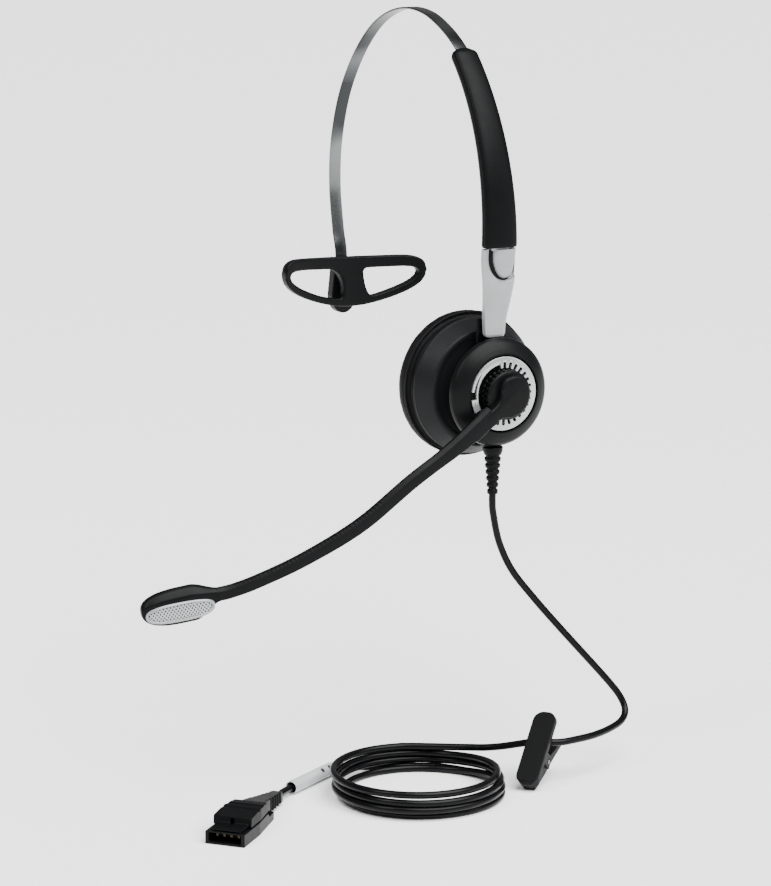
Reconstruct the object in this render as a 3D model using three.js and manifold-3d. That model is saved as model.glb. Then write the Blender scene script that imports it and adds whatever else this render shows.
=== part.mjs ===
// A one-ear office headset: ear cup, boom microphone, headband with a temple pad, and its lead with
// a clothing clip and a quick-disconnect plug. Millimetres, +Z up.
// The origin is the middle of the ear cushion's face. +X points out of the ear along the cup's axis,
// and -Y is the wearer's forward.
import * as THREE from "three";
import { mergeVertices } from "three/addons/utils/BufferGeometryUtils.js";
import Module from "manifold-3d";

const wasm = await Module();
wasm.setup();

// ---- driving dimensions ----------------------------------------------------------------------

const GAP = 0.3; // left between pieces that touch
const TURN_SIDES = 36;
const SMALL_TURN_SIDES = 20;

const CUSHION_RADIUS = 27;
const CUSHION_DEPTH = 9;
const HOUSING_RADIUS = 25;
const HOUSING_BACK = 19.5; // x of the speaker housing's outer back wall
const HOUSING_BACK_RADIUS = 21.2;
const PIVOT_X = 20; // centre of the ball that the speaker capsule tilts on
const BALL_RADIUS = 8;
const SEAT_RADIUS = 10.2;
const YOKE_X = [23.7, 27.3];
const YOKE_RADIUS = 16.5;
const HUB_X = [27.7, 33.3]; // back and front of the outer housing
const HUB_RADIUS = 19.6;
const RING_RADIUS = 13.4;
const RING_TEETH = 28;
const RING_X = [32.3, 33.3];
const RING_BORE = 9.2;
const KNOB_RADIUS = 8.9;
const KNOB_X = [32.4, 38.6];

const BAND_WIDTH = 5;
const BAND_THICKNESS = 0.7;
const SLIDE_CENTRE = new THREE.Vector2(-62.5, 54.8); // x, z of the centre that the band slides about
const SLIDE_RADIUS = 91.8;
const BAND_TAIL_ANGLE = 17; // degrees above +X, seen from the slide centre
const SLEEVE_THICKNESS = 5;
const SLEEVE_ANGLES = [-2, 44.5];
const SLEEVE_HALF_WIDTH = [6.7, 4.8]; // at the foot and at the mouth
const SLEEVE_CHANNEL = 3;
const ARM_THICKNESS = 3.6;
const ARM_FOOT_Z = 19.9;
const ARM_HEAD_Z = 51.2;

const PAD_X = -81.2; // middle of the temple pad's web
const PAD_HALF_WIDTH = 30.9;
const PAD_CURVE_RADIUS = 95.7;
const PAD_THICKNESS = 3.8;
const PAD_BALL = new THREE.Vector3(-81.7, 0, 25);
const PAD_ROLL = -1.7; // degrees about X at rest

const BOOM_HEIGHT = 5.4;
const BOOM_THICKNESS = 3.4;
const BOOM_KNUCKLE_GAP = 0.8;

const FLOOR_Z = -140; // the surface that the lead lies on
const CORD_DIAMETER = 2.6;
const CORD_SIDES = 8;
const COIL_CENTRE = new THREE.Vector2(40.5, -39);
const COIL_OUTER_RADIUS = 31.1;
const COIL_INNER_RADIUS = 25.4;
const COIL_HEIGHT = 10.4;
const RELIEF_X = 25.8;

const degrees = THREE.MathUtils.degToRad;

// ---- materials -------------------------------------------------------------------------------

const finish = (color, roughness, metalness = 0) =>
  new THREE.MeshStandardMaterial({ color, roughness, metalness });

const LEATHERETTE = () => finish(0x1b1c1e, 0.62);
const BLACK_PLASTIC = () => finish(0x17181a, 0.48);
const GREY_PLASTIC = () => finish(0x3a3d41, 0.6);
const RUBBER = () => finish(0x141517, 0.8);
const SATIN_SILVER = () => finish(0xd6d8da, 0.32, 0.85);
const STEEL = () => finish(0x9a9c9e, 0.28, 1);
const BRASS = () => finish(0xb99a4a, 0.35, 1);
const BOARD_GREEN = () => finish(0x1f5a38, 0.55);
const LABEL_SILVER = () => finish(0xd9dbdc, 0.45, 0.1);

// ---- geometry helpers ------------------------------------------------------------------------

// A closed geometry as a solid, with its faces pointing out.
function solidOf(geometry) {
  const bare = geometry.clone();
  bare.deleteAttribute("normal");
  bare.deleteAttribute("uv");
  const merged = mergeVertices(bare);
  const vertProperties = merged.attributes.position.array;
  const triVerts = new Uint32Array(merged.index.array);
  const solid = new wasm.Manifold(new wasm.Mesh({ numProp: 3, vertProperties, triVerts }));
  if (solid.volume() > 0) return solid;
  for (let i = 0; i < triVerts.length; i += 3) {
    [triVerts[i + 1], triVerts[i + 2]] = [triVerts[i + 2], triVerts[i + 1]];
  }
  return new wasm.Manifold(new wasm.Mesh({ numProp: 3, vertProperties, triVerts }));
}

function geometryOf(solid) {
  const mesh = solid.getMesh();
  const positions = new Float32Array(mesh.numVert * 3);
  for (let i = 0; i < mesh.numVert; i++) {
    positions.set(mesh.vertProperties.subarray(i * mesh.numProp, i * mesh.numProp + 3), i * 3);
  }
  const geometry = new THREE.BufferGeometry();
  geometry.setAttribute("position", new THREE.BufferAttribute(positions, 3));
  geometry.setIndex(new THREE.BufferAttribute(new Uint32Array(mesh.triVerts), 1));
  geometry.computeVertexNormals();
  return geometry;
}

const closed = (geometry) => geometryOf(solidOf(geometry));

const cut = (body, ...tools) =>
  geometryOf(tools.reduce((left, tool) => left.subtract(solidOf(tool)), solidOf(body)));

const join = (body, ...others) =>
  geometryOf(others.reduce((sum, other) => sum.add(solidOf(other)), solidOf(body)));

const common = (body, ...others) =>
  geometryOf(others.reduce((left, other) => left.intersect(solidOf(other)), solidOf(body)));

// A profile of [x, radius] pairs turned about the X axis.
function turned(profile, sides = TURN_SIDES) {
  const points = profile.map(([x, radius]) => new THREE.Vector2(radius, x));
  return new THREE.LatheGeometry(points, sides).rotateZ(-Math.PI / 2);
}

// A ring of rectangular section about the X axis.
function washer(x0, x1, inner, outer, sides = TURN_SIDES) {
  return turned([[x0, inner], [x0, outer], [x1, outer], [x1, inner], [x0, inner]], sides);
}

function rod(x0, x1, radius, sides = SMALL_TURN_SIDES) {
  return turned([[x0, 0], [x0, radius], [x1, radius], [x1, 0]], sides);
}

function boxBetween([x0, y0, z0], [x1, y1, z1]) {
  const box = new THREE.BoxGeometry(x1 - x0, y1 - y0, z1 - z0);
  return box.translate((x0 + x1) / 2, (y0 + y1) / 2, (z0 + z1) / 2);
}

const flat = (depth, curveSegments) => ({ depth, bevelEnabled: false, curveSegments });

// A y, z outline extruded from x0 to x1.
function plateAlongX(shape, x0, x1, curveSegments = 12) {
  const turn = new THREE.Matrix4().makeBasis(
    new THREE.Vector3(0, 1, 0),
    new THREE.Vector3(0, 0, 1),
    new THREE.Vector3(1, 0, 0),
  );
  const plate = new THREE.ExtrudeGeometry(shape, flat(x1 - x0, curveSegments));
  return plate.applyMatrix4(turn).translate(x0, 0, 0);
}

// An x, z outline extruded from y0 to y1.
function plateAlongY(shape, y0, y1, curveSegments = 12) {
  const plate = new THREE.ExtrudeGeometry(shape, flat(y1 - y0, curveSegments));
  return plate.rotateX(Math.PI / 2).translate(0, y1, 0);
}

// An x, y outline extruded from z0 to z1.
function plateAlongZ(shape, z0, z1, curveSegments = 12) {
  return new THREE.ExtrudeGeometry(shape, flat(z1 - z0, curveSegments)).translate(0, 0, z0);
}

const outline = (pairs) => new THREE.Shape(pairs.map(([a, b]) => new THREE.Vector2(a, b)));

// The outline of a strip that runs along a list of 2D points, with a half width at each.
function strip(points, halfWidthAt) {
  const left = [];
  const right = [];
  points.forEach((point, i) => {
    const before = points[Math.max(i - 1, 0)];
    const after = points[Math.min(i + 1, points.length - 1)];
    const along = after.clone().sub(before).normalize();
    const across = new THREE.Vector2(-along.y, along.x);
    const half = halfWidthAt(i / (points.length - 1));
    left.push(point.clone().addScaledVector(across, half));
    right.unshift(point.clone().addScaledVector(across, -half));
  });
  return new THREE.Shape([...left, ...right]);
}

// A sector of a ring in a plane, between two angles in degrees.
function ringSector(centre, inner, outer, from, to) {
  const shape = new THREE.Shape();
  shape.absarc(centre.x, centre.y, outer, degrees(from), degrees(to), false);
  shape.absarc(centre.x, centre.y, inner, degrees(to), degrees(from), true);
  shape.closePath();
  return shape;
}

// A rectangle with rounded corners, centred on a point.
function roundedRectangle(width, height, corner, [cx, cy] = [0, 0]) {
  const shape = new THREE.Shape();
  const a = width / 2 - corner;
  const b = height / 2 - corner;
  shape.absarc(cx + a, cy + b, corner, 0, Math.PI / 2, false);
  shape.absarc(cx - a, cy + b, corner, Math.PI / 2, Math.PI, false);
  shape.absarc(cx - a, cy - b, corner, Math.PI, Math.PI * 1.5, false);
  shape.absarc(cx + a, cy - b, corner, Math.PI * 1.5, Math.PI * 2, false);
  shape.closePath();
  return shape;
}

function disc(radius, [cx, cy] = [0, 0]) {
  const shape = new THREE.Shape();
  shape.absarc(cx, cy, radius, 0, Math.PI * 2, false);
  return shape;
}

// A round tube of a cord along a list of points.
function cordAlong(points, steps) {
  const path = new THREE.CatmullRomCurve3(points.map((point) => new THREE.Vector3(...point)));
  const section = new THREE.Shape();
  for (let i = 0; i < CORD_SIDES; i++) {
    const angle = (i / CORD_SIDES) * Math.PI * 2;
    const x = (Math.cos(angle) * CORD_DIAMETER) / 2;
    const y = (Math.sin(angle) * CORD_DIAMETER) / 2;
    if (i === 0) section.moveTo(x, y);
    else section.lineTo(x, y);
  }
  section.closePath();
  return new THREE.ExtrudeGeometry(section, { steps, bevelEnabled: false, extrudePath: path });
}

const headset = new THREE.Group();

function add(parent, name, geometry, material) {
  const mesh = new THREE.Mesh(closed(geometry), material);
  mesh.name = name;
  parent.add(mesh);
  return mesh;
}

// ---- speaker capsule: what rests on the ear ----------------------------------------------------

function buildCapsule(parent) {
  const lip = new THREE.SplineCurve(
    [[2.6, 9], [0.7, 13], [0, 18], [1.4, 23.6], [5, CUSHION_RADIUS], [8, 25.8], [CUSHION_DEPTH, 23.6]].map(
      ([x, radius]) => new THREE.Vector2(x, radius),
    ),
  );
  const cushion = [[2.6, 0], ...lip.getPoints(14).map((p) => [p.x, p.y]), [CUSHION_DEPTH, 0]];
  add(parent, "ear_cushion", turned(cushion), LEATHERETTE());

  const plateX = CUSHION_DEPTH + GAP;
  add(parent, "cushion_ring", washer(plateX, 11, 12, 24.4), BLACK_PLASTIC());

  const holeCircle = 7;
  const holeRadius = 1.7;
  const grille = disc(22.3);
  grille.holes.push(disc(holeRadius));
  for (let i = 0; i < 6; i++) {
    const angle = (i / 6) * Math.PI * 2;
    grille.holes.push(disc(holeRadius, [Math.cos(angle) * holeCircle, Math.sin(angle) * holeCircle]));
  }
  add(parent, "speaker_grille", plateAlongX(grille, 11.4, 12.2), BLACK_PLASTIC());

  const diaphragm = [
    [12.5, 0], [12.7, 4], [13, 6.5], [12.7, 9], [13, 12.2],
    [13.3, 12.2], [13, 9], [13.3, 6.5], [13, 4], [12.8, 0],
  ];
  add(parent, "driver_diaphragm", turned(diaphragm), GREY_PLASTIC());

  const basket = [
    [12.5, 14.4], [12.5, 19.4], [13.5, 19.4], [13.5, 15.2], [14.7, 12.4], [14.7, 7],
    [13.8, 7], [13.8, 12.6], [13, 14.4], [12.5, 14.4],
  ];
  add(parent, "driver_basket", turned(basket), BLACK_PLASTIC());
  add(parent, "driver_magnet", rod(13.8, 15.5, 5.6), STEEL());

  // The bowl, with the spherical seat that holds the socket ring in the middle of its back wall.
  const seat = [-0.1, -0.9, -1.8, -2.6, -3.4].map((dx) => [
    PIVOT_X + dx,
    Math.sqrt(SEAT_RADIUS ** 2 - dx ** 2),
  ]);
  const bowl = [
    [11.3, 22.8], [11.3, HOUSING_RADIUS], [13, HOUSING_RADIUS], [HOUSING_BACK - 0.4, HOUSING_BACK_RADIUS],
    [HOUSING_BACK, HOUSING_BACK_RADIUS - 0.5], [HOUSING_BACK, 12.2], [20.9, 12.2], [20.9, 8.6],
    [PIVOT_X - 0.1, 8.6], ...seat, [16.6, 11.6], [18, 11.6], [18, 19.8], [12.5, 22.8], [11.3, 22.8],
  ];
  add(parent, "speaker_housing", turned(bowl), GREY_PLASTIC());
}

// The friction ring between the ball and the speaker housing's seat.
function buildSocketRing(parent) {
  const span = [-3.4, -2.6, -1.8];
  const shell = (radius) => span.map((dx) => [PIVOT_X + dx, Math.sqrt(radius ** 2 - dx ** 2)]);
  const inner = shell(BALL_RADIUS + GAP);
  const ring = [...inner, ...shell(SEAT_RADIUS - GAP).reverse(), inner[0]];
  add(parent, "socket_ring", turned(ring), GREY_PLASTIC());
}

// ---- hub: neck, yoke and outer housing ---------------------------------------------------------

function buildHub(parent) {
  const ball = [-2.6, -1.3, 0, 1.3, 2.6, 3.9, 5.05].map((dx) => [
    PIVOT_X + dx,
    Math.sqrt(BALL_RADIUS ** 2 - dx ** 2),
  ]);
  const neckBore = 2.5;
  const neckBack = ball[0][0];
  const neckFront = 29;
  const neckRadius = ball.at(-1)[1];
  const neck = [
    [neckBack, neckBore], ...ball, [neckFront, neckRadius], [neckFront, neckBore], [neckBack, neckBore],
  ];
  add(parent, "ball_neck", turned(neck), BLACK_PLASTIC());

  const [yokeBack, yokeFront] = YOKE_X;
  const topPlate = boxBetween([22.9, -5.6, 9], [yokeBack, 5.6, 26]);
  const foot = boxBetween([yokeBack, -4.4, -20], [yokeFront, 4.4, -12]);
  const yoke = join(washer(yokeBack, yokeFront, 7.5, YOKE_RADIUS), topPlate, foot);
  add(parent, "yoke_ring", yoke, BLACK_PLASTIC());

  const [hubBack, hubFront] = HUB_X;
  add(parent, "back_cover", washer(hubBack, 28.9, 6.6, 17.6), BLACK_PLASTIC());
  add(parent, "circuit_board", washer(29.4, 30.2, 7.2, 15.4), BOARD_GREEN());

  const floor = RING_X[0] - GAP;
  const shell = [
    [hubBack, 18], [hubBack, HUB_RADIUS - 0.2], [28.6, HUB_RADIUS], [29.8, 19.4], [31.2, 18.2], [32.4, 16.2],
    [hubFront, RING_RADIUS + 0.7], [hubFront, RING_RADIUS + GAP], [floor, RING_RADIUS + GAP], [floor, 2],
    [floor - 1.2, 2], [floor - 1.2, 14.6], [29.6, 17.4], [28.9, 18], [hubBack, 18],
  ];
  add(parent, "front_housing", turned(shell), BLACK_PLASTIC());

  const ring = disc(RING_RADIUS);
  const teeth = new THREE.Path();
  const slotDepth = 1.8;
  const slotHalfAngle = 0.043;
  for (let i = 0; i < RING_TEETH; i++) {
    const angle = (i / RING_TEETH) * Math.PI * 2;
    const corners = [
      [-slotHalfAngle, RING_BORE], [-slotHalfAngle, RING_BORE + slotDepth],
      [slotHalfAngle, RING_BORE + slotDepth], [slotHalfAngle, RING_BORE],
    ];
    corners.forEach(([turn, radius], corner) => {
      const y = Math.cos(angle + turn) * radius;
      const z = Math.sin(angle + turn) * radius;
      if (i === 0 && corner === 0) teeth.moveTo(y, z);
      else teeth.lineTo(y, z);
    });
  }
  teeth.closePath();
  ring.holes.push(teeth);
  add(parent, "toothed_ring", plateAlongX(ring, ...RING_X, 24), SATIN_SILVER());

  add(parent, "detent_washer", washer(floor + GAP, floor + 0.8, 3, 6.2, SMALL_TURN_SIDES), STEEL());

  const pin = [[29.7, 0], [29.7, 3.6], [30.5, 3.6], [30.5, 1.6], [36, 1.6], [36, 0]];
  add(parent, "boom_pivot_pin", turned(pin, SMALL_TURN_SIDES), STEEL());
}

// ---- arm and sleeve ----------------------------------------------------------------------------

function buildArm(parent) {
  const line = new THREE.SplineCurve(
    [[26.1, ARM_FOOT_Z], [26.3, 26], [27.9, 33.5], [28.9, 40], [28.9, 46], [29.3, ARM_HEAD_Z]].map(
      ([x, z]) => new THREE.Vector2(x, z),
    ),
  );
  const side = plateAlongY(strip(line.getPoints(16), () => ARM_THICKNESS / 2), -8, 8);
  const front = new THREE.Shape();
  front.moveTo(-2.9, ARM_FOOT_Z);
  front.lineTo(2.9, ARM_FOOT_Z);
  front.quadraticCurveTo(3.7, ARM_FOOT_Z, 3.8, ARM_FOOT_Z + 1);
  front.quadraticCurveTo(5, 36, 6.7, ARM_HEAD_Z);
  front.lineTo(-6.7, ARM_HEAD_Z);
  front.quadraticCurveTo(-5, 36, -3.8, ARM_FOOT_Z + 1);
  front.quadraticCurveTo(-3.7, ARM_FOOT_Z, -2.9, ARM_FOOT_Z);
  const blade = common(side, plateAlongX(front, 20, 34));
  const tang = boxBetween([28.2, -3.6, ARM_HEAD_Z - 1], [30.3, 3.6, 59.5]);
  add(parent, "silver_arm", join(blade, tang), SATIN_SILVER());
}

function buildSleeve(parent) {
  const [from, to] = SLEEVE_ANGLES;
  const [footHalf, mouthHalf] = SLEEVE_HALF_WIDTH;
  const footZ = ARM_HEAD_Z + GAP;
  const mouthZ = 119;
  const face = new THREE.Shape();
  face.moveTo(-footHalf, footZ);
  face.lineTo(footHalf, footZ);
  face.lineTo(mouthHalf, mouthZ - 2.5);
  face.quadraticCurveTo(mouthHalf, mouthZ, mouthHalf - 2, mouthZ + 0.6);
  face.lineTo(2 - mouthHalf, mouthZ + 0.6);
  face.quadraticCurveTo(-mouthHalf, mouthZ, -mouthHalf, mouthZ - 2.5);
  const front = plateAlongX(face, -10, 40);
  const channelHalf = SLEEVE_CHANNEL / 2;
  const channel = plateAlongY(
    ringSector(SLIDE_CENTRE, SLIDE_RADIUS - channelHalf, SLIDE_RADIUS + channelHalf, 8, 50),
    -2.9,
    2.9,
  );
  const pocket = boxBetween([27.9, -3.9, 45], [30.6, 3.9, 59.8]);
  const half = (inner, outer) =>
    cut(
      common(plateAlongY(ringSector(SLIDE_CENTRE, inner, outer, from, to), -8, 8, 16), front),
      channel,
      pocket,
    );
  const seam = GAP / 2;
  const skin = SLEEVE_THICKNESS / 2;
  add(parent, "sleeve_outer", half(SLIDE_RADIUS + seam, SLIDE_RADIUS + skin), BLACK_PLASTIC());
  add(parent, "sleeve_inner", half(SLIDE_RADIUS - skin, SLIDE_RADIUS - seam), BLACK_PLASTIC());

  const leafInner = SLIDE_RADIUS + BAND_THICKNESS / 2 + GAP;
  const leaf = ringSector(SLIDE_CENTRE, leafInner, leafInner + 0.4, 19, 33);
  add(parent, "friction_spring", plateAlongY(leaf, -2.2, 2.2), STEEL());
}

// ---- sliding band and temple pad ---------------------------------------------------------------

// The x, z centre line of the steel band: an arc inside the sleeve, then a free arch to the pad.
function bandLine() {
  const points = [];
  for (let angle = BAND_TAIL_ANGLE; angle <= SLEEVE_ANGLES[1] + 1; angle += 4) {
    const x = SLIDE_CENTRE.x + Math.cos(degrees(angle)) * SLIDE_RADIUS;
    const z = SLIDE_CENTRE.y + Math.sin(degrees(angle)) * SLIDE_RADIUS;
    points.push(new THREE.Vector2(x, z));
  }
  const arch = [
    [-7, 125.8], [-20, 131], [-34.5, 132.4], [-49, 129.4], [-62, 122.6], [-74.5, 111],
    [-84.4, 96.4], [-90.4, 79], [-91.7, 62], [-89.4, 46], [-87.2, 38], [-86.5, 31], [-86.4, 26.5],
  ];
  points.push(...arch.map(([x, z]) => new THREE.Vector2(x, z)));
  return new THREE.SplineCurve(points);
}

function buildBand(parent) {
  const half = BAND_THICKNESS / 2;
  const band = strip(bandLine().getSpacedPoints(64), () => half);
  add(parent, "steel_band", plateAlongY(band, -BAND_WIDTH / 2, BAND_WIDTH / 2), STEEL());

  const stopOuter = SLIDE_RADIUS - half - GAP;
  const stop = ringSector(SLIDE_CENTRE, stopOuter - 0.5, stopOuter, 17.5, 19.5);
  add(parent, "band_stop", plateAlongY(stop, -2.3, 2.3), STEEL());
}

function buildHolder(parent) {
  const back = -88.7;
  const front = -84.7;
  const drop = new THREE.Shape();
  drop.moveTo(3.6, 34.2);
  drop.quadraticCurveTo(4.4, 27, 5.2, 20);
  drop.bezierCurveTo(5.2, 10.7, -5.2, 10.7, -5.2, 20);
  drop.quadraticCurveTo(-4.4, 27, -3.6, 34.2);
  const body = plateAlongX(drop, back, front);
  const slot = boxBetween([-87.8, -2.9, 25.8], [-85.6, 2.9, 40]);
  const { x, z } = PAD_BALL;
  const neck = rod(front - 1, x - 1, 0.8, 12).translate(0, 0, z);
  const ball = new THREE.SphereGeometry(1.5, 16, 10).translate(x, 0, z);
  add(parent, "pad_holder", join(cut(body, slot), neck, ball), BLACK_PLASTIC());
}

function buildPad(parent) {
  const top = 35.4;
  const wing = 27.8; // height of the outer corners' middle
  const face = new THREE.Shape();
  face.moveTo(0, top);
  face.lineTo(-24, top + 0.2);
  face.bezierCurveTo(-29.5, top, -PAD_HALF_WIDTH, 33, -PAD_HALF_WIDTH, wing + 2);
  face.bezierCurveTo(-PAD_HALF_WIDTH, wing - 2, -27, 22.8, -20, 20.2);
  face.bezierCurveTo(-12, 17.2, -5, 16.2, 0, 16.2);
  face.bezierCurveTo(5, 16.2, 12, 17.2, 20, 20.2);
  face.bezierCurveTo(27, 22.8, PAD_HALF_WIDTH, wing - 2, PAD_HALF_WIDTH, wing + 2);
  face.bezierCurveTo(PAD_HALF_WIDTH, 33, 29.5, top, 24, top + 0.2);
  const broad = new THREE.Path();
  broad.moveTo(7.6, 31);
  broad.lineTo(22, 31.3);
  broad.bezierCurveTo(27, 31.3, 28.2, 30.4, 28.2, 29.2);
  broad.bezierCurveTo(28.2, 26.8, 23, 24.4, 19, 22.9);
  broad.bezierCurveTo(14, 21, 11, 20.2, 9.4, 20.2);
  broad.bezierCurveTo(7.2, 20.6, 6, 26, 5.6, 29.4);
  broad.quadraticCurveTo(5.8, 31, 7.6, 31);
  const hooked = new THREE.Path(); // reaches in beside the ball, where the holder shows behind it
  hooked.moveTo(-9.6, 31);
  hooked.lineTo(-22, 31.3);
  hooked.bezierCurveTo(-27, 31.3, -28.2, 30.4, -28.2, 29.2);
  hooked.bezierCurveTo(-28.2, 26.8, -23, 24.4, -19, 22.9);
  hooked.bezierCurveTo(-14, 21, -10, 19.8, -4.8, 19.4);
  hooked.bezierCurveTo(-3, 19.4, -2.8, 21, -2.9, 23.4);
  hooked.bezierCurveTo(-3.2, 27.4, -5.6, 31, -9.6, 31);
  face.holes.push(broad, hooked);
  const curve = ringSector(
    new THREE.Vector2(PAD_X + PAD_CURVE_RADIUS, 0),
    PAD_CURVE_RADIUS - PAD_THICKNESS / 2,
    PAD_CURVE_RADIUS + PAD_THICKNESS / 2,
    158,
    202,
  );
  const wings = common(plateAlongX(face, -90, -60, 6), plateAlongZ(curve, 10, 40, 12));
  const socket = new THREE.SphereGeometry(1.8, 16, 10).translate(PAD_BALL.x, 0, PAD_BALL.z);
  const pad = cut(wings, socket).translate(-PAD_BALL.x, 0, -PAD_BALL.z);
  const mesh = add(parent, "temple_pad", pad, RUBBER());
  mesh.position.copy(PAD_BALL);
  mesh.rotation.x = degrees(PAD_ROLL);
}

// ---- boom and microphone -----------------------------------------------------------------------

const boomLine = new THREE.CatmullRomCurve3(
  [
    [38.2, -2, -1.6], [38.2, -22, -15.6], [37.2, -40, -26.8], [34.4, -59, -40.8],
    [29, -78.3, -51.8], [23.4, -94.5, -58.8], [18.9, -106.6, -63],
  ].map((point) => new THREE.Vector3(...point)),
);

// A stretch of the boom between two shares of its length: its side view and its plan, in common.
function boomBar(from, to) {
  const steps = Math.max(4, Math.round((to - from) * 24));
  const samples = (start, end) =>
    Array.from({ length: steps + 1 }, (_, i) => boomLine.getPointAt(start + ((end - start) * i) / steps));
  const side = samples(from, to).map((p) => new THREE.Vector2(p.y, p.z));
  const plan = samples(Math.max(from - 0.02, 0), Math.min(to + 0.02, 1)).map((p) => new THREE.Vector2(p.x, p.y));
  const taper = (share) => BOOM_HEIGHT / 2 + Math.max(0, 1.3 - (from + (to - from) * share) * 5.2);
  return common(
    plateAlongX(strip(side, taper), 0, 60),
    plateAlongZ(strip(plan, () => BOOM_THICKNESS / 2), -90, 20),
  );
}

function buildBoom(parent) {
  const gap = BOOM_KNUCKLE_GAP / 2 / boomLine.getLength();
  const flexAt = [0.5, 0.76];

  const [knobBack, knobFront] = KNOB_X;
  const knob = new THREE.Shape();
  const ribDepth = 0.8;
  for (let i = 0; i < RING_TEETH * 2; i++) {
    const radius = i % 2 ? KNOB_RADIUS - ribDepth : KNOB_RADIUS;
    [-0.04, 0.04].forEach((turn) => {
      const angle = (i / RING_TEETH) * Math.PI + turn;
      const y = Math.cos(angle) * radius;
      const z = Math.sin(angle) * radius;
      if (i === 0 && turn < 0) knob.moveTo(y, z);
      else knob.lineTo(y, z);
    });
  }
  const cap = turned([[35.8, 0], [35.8, 8.4], [37.2, 8.4], [knobFront, 7.4], [knobFront, 0]]);
  const hubBody = join(plateAlongX(knob, knobBack, 36), cap);
  const washerRoom = rod(knobBack - 1, knobBack + 0.8, 6.8);
  const bore = rod(knobBack - 1, 36.3, 2);
  const knobWithArm = cut(join(hubBody, boomBar(0, flexAt[0] - gap)), washerRoom, bore);
  add(parent, "boom_arm_inner", knobWithArm, BLACK_PLASTIC());
  add(parent, "boom_arm_middle", boomBar(flexAt[0] + gap, flexAt[1] - gap), RUBBER());
  add(parent, "boom_arm_outer", boomBar(flexAt[1] + gap, 1), RUBBER());
}

function buildMicrophone(parent) {
  // Local frame: +X along the boom towards the tip, +Y down across it, +Z out of the grille.
  const microphone = new THREE.Group();
  const end = boomLine.getPointAt(1);
  const along = new THREE.Vector3(-6.2, -23.9, -3.85).normalize();
  const out = new THREE.Vector3(1, 0, 0).addScaledVector(along, -along.x).normalize();
  const across = new THREE.Vector3().crossVectors(out, along);
  microphone.quaternion.setFromRotationMatrix(new THREE.Matrix4().makeBasis(along, across, out));
  microphone.position.copy(end).addScaledVector(along, 2 * GAP);
  parent.add(microphone);

  const halfLength = 14.6;
  const halfHeight = 6.2;
  const halfDepth = 3.8;
  const middle = 12.6; // from the neck, where the egg is cut off to meet the boom
  const bulb = new THREE.SphereGeometry(1, 20, 12).scale(halfLength, halfHeight, halfDepth);
  const ellipse = (a, b) => {
    const shape = new THREE.Shape();
    shape.absellipse(middle + 0.8, 2, a, b, 0, Math.PI * 2, false);
    return shape;
  };
  const pocketFloor = 1.6;
  const pocket = plateAlongZ(ellipse(10.6, 3.5), pocketFloor, 8, 14);
  const wellRadius = 2.9;
  const well = new THREE.CylinderGeometry(wellRadius, wellRadius, 6, 20).rotateX(Math.PI / 2);
  const trim = boxBetween([0, -9, -9], [middle + halfLength + 1, 9, 2.9]);
  const body = common(bulb.translate(middle, 0.7, 0), trim);
  const housing = cut(body, pocket, well.translate(middle, 2, pocketFloor + 0.4));
  add(microphone, "mic_housing", housing, BLACK_PLASTIC());

  const capsule = new THREE.CylinderGeometry(2.5, 2.5, 2, 20).rotateX(Math.PI / 2);
  add(microphone, "mic_capsule", capsule.translate(middle, 2, 0.3), STEEL());
  add(microphone, "mic_grille", plateAlongZ(ellipse(10.2, 3.1), pocketFloor + GAP, 2.9, 14), SATIN_SILVER());
}

// ---- lead: strain relief, cord, coil, label, clip and plug ---------------------------------------

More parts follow.
